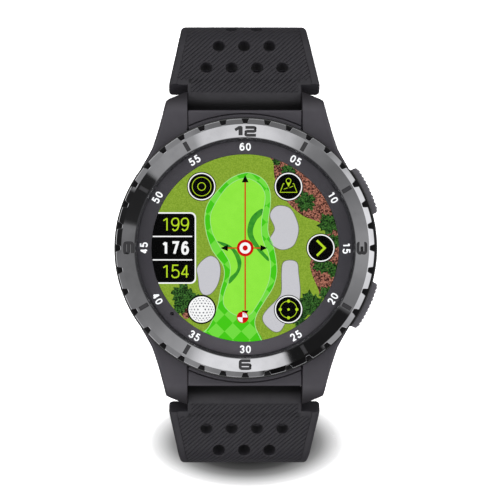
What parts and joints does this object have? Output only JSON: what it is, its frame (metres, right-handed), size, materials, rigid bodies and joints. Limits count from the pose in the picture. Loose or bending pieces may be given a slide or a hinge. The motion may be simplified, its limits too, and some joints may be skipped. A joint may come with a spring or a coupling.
{
  "type": "golf gps watch",
  "caption": "Round wrist watch for golf distances, with a notched bezel, lit course display, side pushers and a perforated silicone strap with pin buckle.",
  "frame": {"origin": "on the flat outer face of the long strap's tail, straight below the centre of the case, where the watch stands", "axes": "+Z out of the display, +Y towards 12 o'clock and the buckle half, +X towards the pushers at 3 o'clock"},
  "size_m": [0.0505, 0.0856, 0.0747],
  "materials": {
    "case_polymer": "fine matte",
    "black_trim": "satin black",
    "bezel_metal": "polished gunmetal",
    "marking_paint": "matte dark infill",
    "cover_glass": "clear polished",
    "black_adhesive": "black film",
    "dial_ring": "matte with white print",
    "sensor_black": "dark lens",
    "display": "lit colour display",
    "frame_plastic": "black moulding",
    "polyimide": "amber film",
    "circuit_board": "green solder mask",
    "shield_tin": "tinned steel",
    "chip_black": "moulded epoxy",
    "cell_foil": "foil pouch",
    "foam": "foam pad",
    "antenna_carrier": "gold traced carrier",
    "motor_steel": "plated",
    "tungsten": "sintered",
    "led_clear": "clear lens",
    "back_plastic": "fine texture",
    "seal_rubber": "moulded",
    "screw_steel": "machined",
    "contact_gold": "gold plated",
    "switch_plastic": "moulded",
    "pusher_metal": "dark satin",
    "spring_steel": "spring wire",
    "plunger_white": "natural",
    "strap_silicone": "ribbed matte",
    "buckle_metal": "dark coated steel"
  },
  "bodies": {
    "case": {"mid_case": "case_polymer", "trim_ring": "black_trim", "bezel": "bezel_metal", "bezel_markings": "marking_paint", "cover_glass": "cover_glass", "glass_adhesive": "black_adhesive", "chapter_ring": "dial_ring", "light_sensor": "sensor_black", "display_panel": "display", "display_frame": "frame_plastic", "display_flex": "polyimide", "main_board": "circuit_board", "shield_cans": "shield_tin", "board_chips": "chip_black", "battery": "cell_foil", "battery_pad": "foam", "gps_antenna": "antenna_carrier", "vibration_motor_case": "motor_steel", "sensor_board": "circuit_board", "sensor_leds": "led_clear", "sensor_window": "sensor_black", "case_back": "back_plastic", "case_back_gasket": "seal_rubber", "case_back_screws": "screw_steel", "charging_contacts": "contact_gold", "upper_switch": "switch_plastic", "lower_switch": "switch_plastic", "upper_spring": "spring_steel", "lower_spring": "spring_steel"},
    "motor_weight": {"vibration_weight": "tungsten"},
    "upper_button": {"upper_pusher": "pusher_metal", "upper_stem": "screw_steel", "upper_o_ring": "seal_rubber", "upper_clip": "spring_steel", "upper_plunger": "plunger_white"},
    "lower_button": {"lower_pusher": "pusher_metal", "lower_stem": "screw_steel", "lower_o_ring": "seal_rubber", "lower_clip": "spring_steel", "lower_plunger": "plunger_white"},
    "long_strap": {"long_strap_root": "strap_silicone", "long_spring_bar_tube": "spring_steel", "long_release_spring": "spring_steel"},
    "long_tail": {"long_strap_tail": "strap_silicone"},
    "short_strap": {"short_strap_root": "strap_silicone", "short_spring_bar_tube": "spring_steel", "short_release_spring": "spring_steel"},
    "short_end": {"short_strap_end": "strap_silicone", "fixed_keeper": "strap_silicone"},
    "long_bar_pin": {"long_release_pin": "spring_steel"},
    "short_bar_pin": {"short_release_pin": "spring_steel"},
    "loose_keeper": {"free_keeper": "strap_silicone"},
    "buckle": {"buckle_frame": "buckle_metal", "buckle_bar": "spring_steel"},
    "tang": {"buckle_tang": "buckle_metal"}
  },
  "joints": [
    {"name": "upper_button_press", "type": "slide", "parent": "case", "child": "upper_button", "axis": [-0.9026, -0.4305, 0], "range_m": [0, 0.0008], "stiffness_N_per_m": 1500, "springref_m": -0.0004, "deforming": ["upper_spring"]},
    {"name": "lower_button_press", "type": "slide", "parent": "case", "child": "lower_button", "axis": [-0.9026, 0.4305, 0], "range_m": [0, 0.0008], "stiffness_N_per_m": 1500, "springref_m": -0.0004, "deforming": ["lower_spring"]},
    {"name": "motor_spin", "type": "hinge", "parent": "case", "child": "motor_weight", "pos_m": [0, -0.0146, 0.067], "axis": [0, 0, 1], "continuous": true},
    {"name": "long_strap_hinge", "type": "hinge", "parent": "case", "child": "long_strap", "pos_m": [0, -0.0281, 0.0642], "axis": [-1, 0, 0], "range_deg": [-3, 70]},
    {"name": "short_strap_hinge", "type": "hinge", "parent": "case", "child": "short_strap", "pos_m": [0, 0.0281, 0.0642], "axis": [1, 0, 0], "range_deg": [-3, 70]},
    {"name": "long_strap_flex", "type": "hinge", "parent": "long_strap", "child": "long_tail", "pos_m": [0, -0.03925, 0.01628], "axis": [-1, 0, 0], "range_deg": [0, 50], "stiffness_Nm_per_rad": 0.03, "springref_deg": -8.59},
    {"name": "short_strap_flex", "type": "hinge", "parent": "short_strap", "child": "short_end", "pos_m": [0, 0.04066, 0.01535], "axis": [1, 0, 0], "range_deg": [0, 50], "stiffness_Nm_per_rad": 0.03, "springref_deg": -8.59},
    {"name": "long_bar_release", "type": "slide", "parent": "long_strap", "child": "long_bar_pin", "axis": [-1, 0, 0], "range_m": [0, 0.0015], "stiffness_N_per_m": 600, "springref_m": -0.0008, "deforming": ["long_release_spring"]},
    {"name": "short_bar_release", "type": "slide", "parent": "short_strap", "child": "short_bar_pin", "axis": [-1, 0, 0], "range_m": [0, 0.0015], "stiffness_N_per_m": 600, "springref_m": -0.0008, "deforming": ["short_release_spring"]},
    {"name": "free_keeper_slide", "type": "slide", "parent": "short_strap", "child": "loose_keeper", "axis": [0, -0.0698, -0.9976], "range_m": [-0.006, 0.006]},
    {"name": "buckle_pivot", "type": "hinge", "parent": "short_end", "child": "buckle", "pos_m": [0, 0.0227, 0.0015], "axis": [1, 0, 0], "range_deg": [-60, 45]},
    {"name": "tang_pivot", "type": "hinge", "parent": "buckle", "child": "tang", "pos_m": [0, 0.0227, 0.0015], "axis": [1, 0, 0], "range_deg": [0, 70]}
  ]
}
